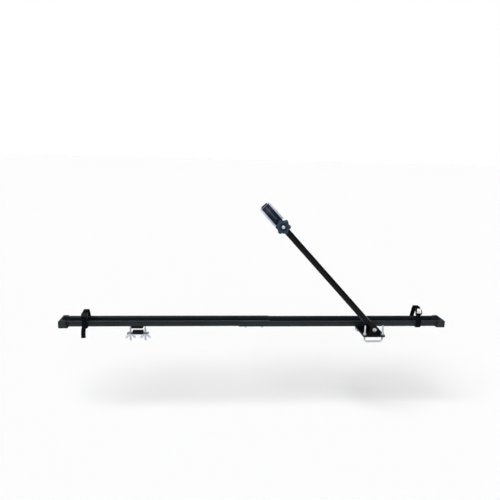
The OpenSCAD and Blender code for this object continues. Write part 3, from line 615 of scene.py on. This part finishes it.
def u_bow(form, y):
    """The U bolt's lower part: two quarter bends with the straight under the bar between them."""
    bends = [math.pi / 2 * i / BEND_STEPS for i in range(BEND_STEPS + 1)]
    spine = [(U_LEG - U_BEND, math.cos(b), -math.sin(b)) for b in bends]
    spine += [(-x, -out_x, out_z) for x, out_x, out_z in reversed(spine)]
    a = round_angles(ROD_SIDES)
    rows = []
    for x, out_x, out_z in spine:
        middle = np.array([x + U_BEND * out_x, y, U_LOW + U_BEND + U_BEND * out_z])
        rows.append(middle + M6_R * np.stack([np.cos(a) * out_x, np.sin(a), np.cos(a) * out_z], -1))
    form.skin(rows)


# Pivot bolt, washer and nut, and the welds at the ears' feet
PIVOT_HEAD, PIVOT_PAST = 5.2, 2.0
PIVOT_HEAD_TURN, PIVOT_NUT_TURN = 0.35, 0.2
WELD_X = (-11.0, 33.0)


def pivot():
    at = Matrix.Translation((PIVOT_X, 0, PIVOT_Z)) @ Matrix.Rotation(math.radians(90), 4, "X")
    washer_z = EAR_FAR - WASHER_T
    nut_z = washer_z - NUT8_H
    end = nut_z - PIVOT_PAST
    bolt, nut, flat = Form(), Form(), Form()
    threaded(bolt, M8_R, end, EAR_NEAR + SUNK, M8_PITCH, at, (end, EAR_FAR + PIVOT_PAST))
    head = hex_rows(NUT8_R, EAR_NEAR, EAR_NEAR + PIVOT_HEAD)
    bolt.skin(head, at @ Matrix.Rotation(PIVOT_HEAD_TURN, 4, "Z"))
    hex_nut(nut, nut_z, NUT8_R, NUT8_H, NUT8_BORE, at @ Matrix.Rotation(PIVOT_NUT_TURN, 4, "Z"))
    washer(flat, washer_z, WASHER8_R, WASHER8_BORE, at)
    build("pivot_bolt_threaded", bolt, "zinc", "rail", ["pivot_bolt"])
    build("pivot_nut_chamfered", nut, "zinc", "rail", ["pivot_nut"])
    build("pivot_washer_eased", flat, "zinc", "rail", ["pivot_washer"])


def ear_welds():
    """A rippled bead along each ear's foot, thinning out at its ends."""
    bead_r, ripple, ripple_pitch, drag = 1.7, 0.10, 1.9, 0.5
    run_out, end_left, step, sides = 2.0, 0.15, 0.3, 16
    xs = np.arange(WELD_X[0], WELD_X[1] + REACH_END, step)
    a = round_angles(sides)
    c, s = np.cos(a), np.sin(a)
    form = Form()
    for y in (-EAR_NEAR, -EAR_FAR):
        rows = []
        for x in xs:
            end = min(1.0, (min(x - xs[0], xs[-1] - x) + end_left) / run_out)
            r = bead_r * math.sqrt(end) * (1 + ripple * abs(math.sin(math.pi * x / ripple_pitch)))
            rows.append(np.stack([x + drag * c * s, y + r * c, FRONT_Z + r * s], -1))
        form.skin(rows)
    build("ear_welds", form, "bracket_steel", "rail")


# Frame clamp: ribbed rubber, screws with a cross recess, bolt, washer and star knob
JAW_STEP, JAW_ARC_STEPS = 0.5, 60
PAD_GROOVE, PAD_EASE, PAD_ROUND, PAD_SEAT = 0.9, 0.8, 0.7, 0.05
JAW_GROOVE_PITCH, THROAT_GROOVE_PITCH = 4.2, 4.9


def jaw_line(low, t0, t1, wrap):
    """A line up a jaw, t0 outside its inner face at first and t1 at the tip: points with outward
    directions, and the length run up to each."""
    pts = [(-JAW_R - t0, z, -1.0, 0.0) for z in np.arange(low, GRIP_AT, JAW_STEP)]
    for i in range(JAW_ARC_STEPS + 1):
        a = math.radians(wrap) * i / JAW_ARC_STEPS
        r = JAW_R + t0 + (t1 - t0) * i / JAW_ARC_STEPS
        pts.append((-r * math.cos(a), GRIP_AT + r * math.sin(a), -math.cos(a), math.sin(a)))
    pts = np.array(pts)
    run = np.concatenate([[0], np.cumsum(np.hypot(*np.diff(pts[:, :2], axis=0).T))])
    return pts, run


def jaw_sweep(end, line, sections):
    """A form from sections of (x, depth inwards) set along a jaw's line."""
    side = JAW_SIDE[end]
    rows = [[(x, -side * (y - ny * d), z - nz * d) for x, d in section]
            for (y, z, ny, nz), section in zip(line, sections)]
    form = Form()
    form.skin(rows, ON_ARM)
    return form


def pad_height(s, left, pitch):
    """A pad's height at s along it, left from its nearer end: grooves across it and eased ends."""
    wave = 0.5 - 0.5 * math.cos(2 * math.pi * s / pitch)
    return min(PAD_T - PAD_GROOVE * (1 - wave) ** 2, PAD_T - PAD_EASE + left)


def ribbed_pad(end):
    """Rubber inside a jaw, ribbed across, with a rim up both of the jaw's edges."""
    foot_gap, tip_short, rim_ease, rim_lead, middle = 1, 3, 1.0, 0.5, 6
    line, run = jaw_line(BLOCK_TOP + PAD_T + foot_gap, -PAD_SEAT, -PAD_SEAT, JAW_WRAP - tip_short)
    inner = JAW_W[end] / 2 + PAD_SEAT
    outer = JAW_W[end] / 2 + PAD_SIDE
    sections = []
    for s in run:
        left = min(s, run[-1] - s)
        t = pad_height(s, left, JAW_GROOVE_PITCH)
        rim = min(PAD_GRIP, PAD_GRIP - rim_ease + left)
        half = [(inner, 0), (inner, rim_lead - rim), (inner + rim_lead, -rim), (outer - PAD_ROUND, -rim),
                (outer, PAD_ROUND - rim), (outer, 0), (outer, t - PAD_ROUND), (outer - PAD_ROUND, t),
                (middle, t)]
        sections.append(half + [(0, t)] + [(-x, d) for x, d in reversed(half)] + [(0, 0)])
    form = jaw_sweep(end, line, sections)
    build(f"{end}_jaw_pad_ribbed", form, "pad_rubber", JAW_BODY[end], [f"{end}_jaw_pad"])


def rib_crown_highlight(end):
    """A rounded crown along the rib on a jaw's back, in the lighter, bluer knob plastic: a painted
    highlight along the rib.
    """
    crown, sunk, floor, edge_in = 1.1, 0.5, 0.3, 0.3
    run_out, end_left = 4.0, 0.1
    above_knob, tip_up, tip_short = 4, 1.2, 8.5
    line, run = jaw_line(KNOB_AT + KNOB_R + above_knob, JAW_T + RIB_H, TIP_T + tip_up, JAW_WRAP - tip_short)
    half = RIB_W / 2 - edge_in
    across = np.linspace(-1, 1, 11)
    sections = []
    for s in run:
        full = math.sqrt(min(1.0, (min(s, run[-1] - s) + end_left) / run_out))
        top = [(half * x, sunk - (crown + sunk) * full * math.sqrt(max(0.0, 1 - x * x))) for x in across]
        sections.append(top + [(half / 2, sunk + floor), (-half / 2, sunk + floor)])
    # Painted highlight: the crown takes the lighter, bluer knob plastic rather than the jaw's own darker
    # plastic
    build(f"{end}_jaw_rib_crown", jaw_sweep(end, line, sections), "knob_plastic", JAW_BODY[end])


def throat():
    step, edge_in = 0.35, 1.0
    ys = np.arange(THROAT_Y[0], THROAT_Y[1] + REACH_END, step)
    half = JAW_W["front"] / 2 - edge_in
    rows = []
    for y in ys:
        t = pad_height(y - ys[0], min(y - ys[0], ys[-1] - y), THROAT_GROOVE_PITCH)
        section = [(-half, PAD_SEAT), (half, PAD_SEAT), (half, t - PAD_ROUND), (half - PAD_ROUND, t),
                   (0, t), (PAD_ROUND - half, t), (-half, t - PAD_ROUND)]
        rows.append([(x, y, BLOCK_TOP + z) for x, z in section])
    form = Form()
    form.skin(rows, ON_ARM)
    build("throat_pad_ribbed", form, "pad_rubber", "arm", ["throat_pad"])


# Jaw screws: the head's edge as (radius, z), then the radii of its crown, which the cross is cut into
SCREW_X, SCREW_BELOW_KNOB, SCREW_SINK = 8.0, 9.0, 3.0
SCREW_R, SCREW_LEN, SCREW_PITCH, SCREW_SIDES = 2.0, 18.0, 0.9, 48
SCREW_EDGE = ((4.0, 0.0), (4.0, 1.6), (3.9, 1.9), (3.6, 2.1), (3.2, 2.25))
SCREW_CROWN = (2.8, 2.4, 2.2, 2.0, 1.8, 1.5, 1.2, 0.9, 0.6, 0.3)
SCREW_TOP, SCREW_FALL = 2.4, 0.02
CROSS_HALF, CROSS_REACH, CROSS_DEEP = 0.52, 2.3, 1.1


def jaw_screws():
    form = Form()
    face = SCREW_SINK - JAW_R - JAW_T
    profile = [*SCREW_EDGE, *((r, SCREW_TOP - SCREW_FALL * r * r) for r in SCREW_CROWN)]
    a = round_angles(SCREW_SIDES)
    for x in (-SCREW_X, SCREW_X):
        at = ON_ARM @ frame_at((x, face, KNOB_AT - SCREW_BELOW_KNOB), (0, -1, 0))
        threaded(form, SCREW_R, -SCREW_LEN, SUNK, SCREW_PITCH, at)
        rows = []
        for r, h in profile:
            off_axis = np.minimum(np.abs(r * np.cos(a)), np.abs(r * np.sin(a)))
            cross = (off_axis < CROSS_HALF) & (r < CROSS_REACH)
            rows.append(polar(r, a, h - CROSS_DEEP * cross))
        form.skin(rows, at)
    build("jaw_screws_cross", form, "zinc", "arm", ["jaw_screws"])


# Clamp bolt with its knob. A knob row is (share, size, z): share 1 is the star less size all round,
# share 0 a circle with size as its radius
CLAMP_HEAD_R, CLAMP_HEAD_H, CLAMP_BOLT_PAST, CLAMP_THREAD_TOP = 9.6, 4.0, 7.0, -20.0
KNOB_WASHER_R, KNOB_SIDES = 10.4, 192
KNOB_ROWS = (
    (0, 5.7, 2.1), (0, 8.45, 2.1), (0, 8.45, 0.25), (0, 8.7, 0), (0, 10.4, 0), (0, 10.8, 0.4),
    (0, 10.8, 3.0), (0, 11.6, 3.6), (1, 3.0, 3.6), (1, 1.2, 4.0), (1, 0.4, 4.9), (1, 0.05, 6.2),
    (1, 0.0, 9.0), (1, 0.05, 12.6), (1, 0.4, 14.4), (1, 1.1, 15.8), (1, 2.2, 16.9), (1, 3.6, 17.6),
    (1, 5.4, 17.95), (0, 13.6, 17.9), (0, 13.0, 17.6), (0, 12.7, 16.8), (0, 12.5, 12.4), (0, 12.0, 12.0),
    (0, 8.5, 12.0), (0, 8.0, 12.4), (0, 7.7, 16.9), (0, 7.4, 17.5), (0, 6.9, 17.7), (0, 6.0, 17.7),
    (0, 5.7, 17.4),
)


def clamp_screw():
    at = ON_ARM @ frame_at((0, 0, KNOB_AT), (0, 1, 0))
    bolt, flat = Form(), Form()
    end, seat = -KNOB_BACK - KNOB_T - CLAMP_BOLT_PAST, JAW_R + JAW_T
    threaded(bolt, M8_R, end, seat + SUNK, M8_PITCH, at, (end, CLAMP_THREAD_TOP))
    dome(bolt, seat, CLAMP_HEAD_R, CLAMP_HEAD_H, at)
    build("clamp_bolt_threaded", bolt, "zinc", "sliding_jaw", ["clamp_bolt"])
    washer(flat, -KNOB_BACK + KNOB_GAP, KNOB_WASHER_R, WASHER8_BORE, at)
    build("knob_washer_eased", flat, "zinc", "arm", ["knob_washer"])


def star_knob():
    a = round_angles(KNOB_SIDES)
    lobe = (1 + np.cos(LOBES * a)) / 2
    star = KNOB_R * (KNOB_VALLEY + (1 - KNOB_VALLEY) * lobe)
    rows = [polar(share * (star - size) + (1 - share) * size, a, z) for share, size, z in KNOB_ROWS]
    at = ON_ARM @ Matrix.Translation((0, -KNOB_BACK, KNOB_AT)) @ Matrix.Rotation(math.radians(90), 4, "X")
    form = Form()
    form.skin(rows, at @ Matrix.Rotation(TILT, 4, "Z"), closed=True)
    build("clamp_knob_moulded", form, "knob_plastic", "knob", ["clamp_knob"])


# Wheel straps: woven tape along the CAD loop, with a sewn hem at the tail, domed rivets and grip ribs
SHOULDER_UP, PIN_CLEAR, TAIL_OFF = 3.0, 4.0, 1.5
LOOP_HALF = RAIL_W / 2 + LIP + STRAP_GAP + STRAP_T / 2
LOOP_LOW = FRONT_Z - STRAP_GAP - STRAP_T / 2
SHOULDER_Z = LIP_TOP + SHOULDER_UP
LEAN = {end: math.atan2(LOOP_HALF - CROWN_HALF, top - SHOULDER_Z) for end, top in STRAP_TOP.items()}
BUCKLE_LOW = {end: top - BUCKLE_DROP - BUCKLE_LEN * math.cos(LEAN[end]) for end, top in STRAP_TOP.items()}
OVER = STRAP_T + BUCKLE_T + 2 * BUCKLE_ROOM
PIN_OUT, PIN_UP = OVER + STRAP_T / 2 + BUCKLE_ROOM + PIN_CLEAR, -3.0
TAIL_Y, TAIL_FREE, TAIL_EARLY = -LOOP_HALF - STRAP_T - TAIL_OFF, 10.0, 1.4
TAIL_SHIFT = {"rear": -4.5, "front": 0.0}
TAIL_NARROW = {"rear": 0.06, "front": 0.0}
TAPE_STEP, TAPE_POINTS, CORNER_STEPS = 1.1, 15, 16
LOOP_R, SHOULDER_R, CROWN_R, EXIT_R, TAIL_R = 4, 8, 9, 6, 8
RIVET_LAP, EXIT_DROP = 8, 2
HEM, HEM_UP, HEM_STEP = 16.0, 0.55, 0.8
SEAMS, SEAM_W, SEAM_DEEP = (3.0, 12.5), 0.7, 0.22
# The tape's half thickness over the distance from its edge: a tighter selvage, then the flat
TAPE_EDGE = ((0, 0.15, 0.5, 1.1, 2.0), (0.35, 0.70, 0.92, 0.95, 0.82))


def on_lean(end, z, out):
    lean = LEAN[end]
    y = -LOOP_HALF + (z - SHOULDER_Z) * math.tan(lean)
    return (y - out * math.cos(lean), z + out * math.sin(lean))


def strap_line(end):
    """The tape's middle line in the plane across the rail, from the riveted end to the tail."""
    top, low = STRAP_TOP[end], BUCKLE_LOW[end]
    # Corners as (y, z, bend radius)
    corners = [(*on_lean(end, low + RIVET_LAP, 0), 0), (-LOOP_HALF, SHOULDER_Z, SHOULDER_R),
               (-LOOP_HALF, LOOP_LOW, LOOP_R), (LOOP_HALF, LOOP_LOW, LOOP_R),
               (LOOP_HALF, SHOULDER_Z, SHOULDER_R), (CROWN_HALF, top, CROWN_R),
               (*on_lean(end, top, OVER), CROWN_R), (*on_lean(end, low - EXIT_DROP, OVER), EXIT_R),
               (TAIL_Y, low - TAIL_FREE, TAIL_R), (TAIL_Y, STRAP_TAIL[end], 0)]
    pts = [np.array(corners[0][:2])]
    for before, here, after in zip(corners, corners[1:], corners[2:]):
        p0, p1, p2 = (np.array(c[:2]) for c in (before, here, after))
        u, v = (p0 - p1) / np.linalg.norm(p0 - p1), (p2 - p1) / np.linalg.norm(p2 - p1)
        half = math.acos(float(u @ v)) / 2
        reach = here[2] / math.tan(half)
        centre = p1 + (u + v) / np.linalg.norm(u + v) * here[2] / math.sin(half)
        first, last = p1 + u * reach - centre, p1 + v * reach - centre
        turn = math.atan2(first[0] * last[1] - first[1] * last[0], float(first @ last))
        for i in range(CORNER_STEPS + 1):
            w = turn * i / CORNER_STEPS
            c, s = math.cos(w), math.sin(w)
            pts.append(centre + np.array([c * first[0] - s * first[1], s * first[0] + c * first[1]]))
    pts.append(np.array(corners[-1][:2]))
    pts = np.array(pts)
    run = np.concatenate([[0], np.cumsum(np.linalg.norm(np.diff(pts, axis=0), axis=1))])
    at = np.linspace(0, run[-1], int(run[-1] / TAPE_STEP))
    return np.stack([np.interp(at, run, pts[:, 0]), np.interp(at, run, pts[:, 1])], -1), at


def tail_hang(end, left):
    """0 up at the buckle, 1 on the free tail, for the place that is left mm from the tail's end."""
    free = BUCKLE_LOW[end] - TAIL_FREE - STRAP_TAIL[end]
    t = min(1.0, max(0.0, TAIL_EARLY * (free - left) / free))
    return t * t * (3 - 2 * t)


def strap(end):
    line, run = strap_line(end)
    tangent = np.gradient(line, axis=0)
    tangent /= np.linalg.norm(tangent, axis=1)[:, None]
    normal = np.stack([-tangent[:, 1], tangent[:, 0]], -1)
    half_w = STRAP_W / 2
    edge, flat = half_w - np.array(TAPE_EDGE[0][:3]), half_w - TAPE_EDGE[0][3]
    xs = np.concatenate([-edge, np.linspace(-flat, flat, TAPE_POINTS), edge[::-1]])
    depth = np.interp(half_w - np.abs(xs), *TAPE_EDGE)
    across = np.concatenate([xs, xs[::-1]])
    height = np.concatenate([depth, -depth[::-1]])
    rows = []
    for (y, z), (ny, nz), s in zip(line, normal, run):
        left = run[-1] - s
        hem = HEM_UP * float(np.clip((HEM - left) / HEM_STEP, 0, 1))
        seam = min(abs((left - at) / SEAM_W) for at in SEAMS)
        lift = height + (hem - SEAM_DEEP * math.exp(-seam ** 2)) * np.sign(height)
        hang = tail_hang(end, left)
        x = STRAP_X[end] + hang * TAIL_SHIFT[end] + across * (1 - hang * TAIL_NARROW[end])
        rows.append(np.stack([x, y + ny * lift, z + nz * lift], -1))
    form = Form()
    form.skin(rows)
    obj = build(f"{end}_strap_webbing", form, "strap", f"strap_{end}", [f"{end}_strap"])
    uv = obj.data.uv_layers.new(name="tape")
    for loop in obj.data.loops:
        i, j = divmod(loop.vertex_index, len(across))
        uv.data[loop.index].uv = (run[i], across[j])


def stitches(end):
    """Two rows of thread across the hem, on both faces."""
    reach, pitch, out, sides = 5.6, 1.6, 1.22, 8
    thread = [(0.12, 0), (0.28, 0.2), (0.32, 0.6), (0.28, 1.0), (0.12, 1.2)]
    start = STRAP_X[end] + TAIL_SHIFT[end] - thread[-1][1] / 2
    form = Form()
    for left in SEAMS:
        for face in (-1, 1):
            for x in np.arange(-reach, reach + REACH_END, pitch):
                at = frame_at((start + x, TAIL_Y + face * out, STRAP_TAIL[end] + left), (1, 0, 0))
                spun(form, thread, at, sides)
    build(f"{end}_strap_stitches", form, "strap", f"strap_{end}")


def on_buckle(end):
    mid = on_lean(end, (STRAP_TOP[end] - BUCKLE_DROP + BUCKLE_LOW[end]) / 2, 0)
    return Matrix.Translation((STRAP_X[end], mid[0], mid[1])) @ Matrix.Rotation(-LEAN[end], 4, "X")


# Profiles of the rivet and of the lever's beads, as (radius, z), and where the beads lie from the pin
RIVET = ((2.0, -3.4), (2.0, 0.02), (3.3, 0.0), (3.4, 0.2), (3.1, 0.55), (2.3, 0.82), (1.2, 0.95),
         (0.3, 0.98))
RIVET_UP, RIVET_SEAT, RIVET_SIDES = 5.0, 0.05, 32
BEAD = ((0.1, 0), (0.35, 0.3), (0.55, 1.0), (0.55, 4.6), (0.35, 5.2), (0.1, 5.5))
BEAD_X, BEAD_OUT, BEAD_UP, BEAD_SIDES = (-4.2, 0.0, 4.2), 3.3, 1.5, 14
LIP_BEAD = ((0.2, 0), (0.7, 0.2), (0.95, 0.7), (0.95, 13.3), (0.7, 13.8), (0.2, 14.0))
LIP_BEAD_OUT, LIP_BEAD_UP, LIP_BEAD_SIDES = 5.2, 11.3, 16


def rivet(end):
    form = Form()
    at = frame_at((0, STRAP_T / 2 + RIVET_SEAT, RIVET_UP - BUCKLE_LEN / 2), (0, 1, 0))
    spun(form, RIVET, on_buckle(end) @ at, RIVET_SIDES)
    build(f"{end}_strap_rivet_domed", form, "zinc", f"strap_{end}", [f"{end}_strap_rivet"])


def lever_beads(end, slot):
    """Three pressed beads up the lever's face and a rolled bead along its lip."""
    form = Form()
    for x in BEAD_X:
        at = frame_at((x, -PIN_OUT - BEAD_OUT, PIN_UP + BEAD_UP), (0, 0, 1))
        spun(form, BEAD, on_buckle(end) @ at, BEAD_SIDES)
    at = frame_at((-LIP_BEAD[-1][1] / 2, -PIN_OUT - LIP_BEAD_OUT, PIN_UP + LIP_BEAD_UP), (1, 0, 0))
    spun(form, LIP_BEAD, on_buckle(end) @ at, LIP_BEAD_SIDES)
    build(f"{end}_lever_beads", form, slot, f"lever_{end}")


splice()
rear_clamp()
grooved_block("rear_bar_pad_grooved", (BAR_W, RAIL_W - 2, REAR_Z), REAR_Z / 2, "rail", "rear_bar_pad")
grooved_block("rear_clamp_liner_grooved", (BAR_W - 4, CLAMP_D, LINER_T), LINER_LOW + LINER_T / 2,
              "rear_clamp", "rear_clamp_liner")
u_bolts()
pivot()
ear_welds()
for which in ("front", "rear"):
    ribbed_pad(which)
    rib_crown_highlight(which)
throat()
jaw_screws()
clamp_screw()
star_knob()
for which in ("rear", "front"):
    strap(which)
    stitches(which)
    rivet(which)
lever_beads("rear", "bracket_steel")
lever_beads("front", "buckle_steel")

# Stage: a pale floor under a soft sky, white round the horizon and dim overhead, and two soft suns
FLOOR_HALF, FLOOR_Z = 40.0, -0.30
SKY_STOPS = ((0.27, (1, 1, 1, 1)), (0.38, (0.06, 0.06, 0.065, 1)))
SUN_SPREAD = math.radians(50)
SUNS = {"key": ((0.45, 0.55, -1.0), 2.75), "fill": ((0.10, 0.80, -0.55), 0.6)}


def make_floor():
    mesh = bpy.data.meshes.new("floor")
    corners = [(x * FLOOR_HALF, y * FLOOR_HALF, FLOOR_Z) for x, y in ((-1, -1), (1, -1), (1, 1), (-1, 1))]
    mesh.from_pydata(corners, [], [(0, 1, 2, 3)])
    g = Graph("pale_floor")
    grain = g.noise(3.0, 4.0)
    path = g.node("ShaderNodeLightPath").outputs
    mirrored = g.math("MAXIMUM", path["Is Glossy Ray"], path["Is Transmission Ray"])
    seen = g.math("MAXIMUM", path["Is Camera Ray"], mirrored)
    tone = g.ramp(grain, [(0.3, (0.90, 0.90, 0.90)), (0.7, (0.92, 0.92, 0.92))])
    g.shade(Base_Color=g.mix(seen, tone, (1.0, 1.0, 1.0, 1.0)), Roughness=0.95, Specular_IOR_Level=0.0)
    mesh.materials.append(g.mat)
    floor = bpy.data.objects.new("floor", mesh)
    bpy.context.scene.collection.objects.link(floor)


def make_sky():
    world = bpy.data.worlds.new("sky")
    bpy.context.scene.world = world
    world.use_nodes = True
    tree = world.node_tree
    coords = tree.nodes.new("ShaderNodeTexCoord")
    parts = tree.nodes.new("ShaderNodeSeparateXYZ")
    tree.links.new(coords.outputs["Generated"], parts.inputs["Vector"])
    fade = tree.nodes.new("ShaderNodeValToRGB")
    tree.links.new(parts.outputs["Z"], fade.inputs["Fac"])
    for element, (at, colour) in zip(fade.color_ramp.elements, SKY_STOPS):
        element.position = at
        element.color = colour
    tree.links.new(fade.outputs["Color"], tree.nodes["Background"].inputs["Color"])
    tree.nodes["Background"].inputs["Strength"].default_value = 1.0


def make_suns():
    for name, (aim, strength) in SUNS.items():
        lamp = bpy.data.lights.new(name, "SUN")
        lamp.energy = strength
        lamp.angle = SUN_SPREAD
        obj = bpy.data.objects.new(name, lamp)
        obj.rotation_euler = Vector(aim).to_track_quat("-Z", "Y").to_euler()
        bpy.context.scene.collection.objects.link(obj)


make_floor()
make_sky()
make_suns()
bpy.context.scene.view_settings.view_transform = "Standard"
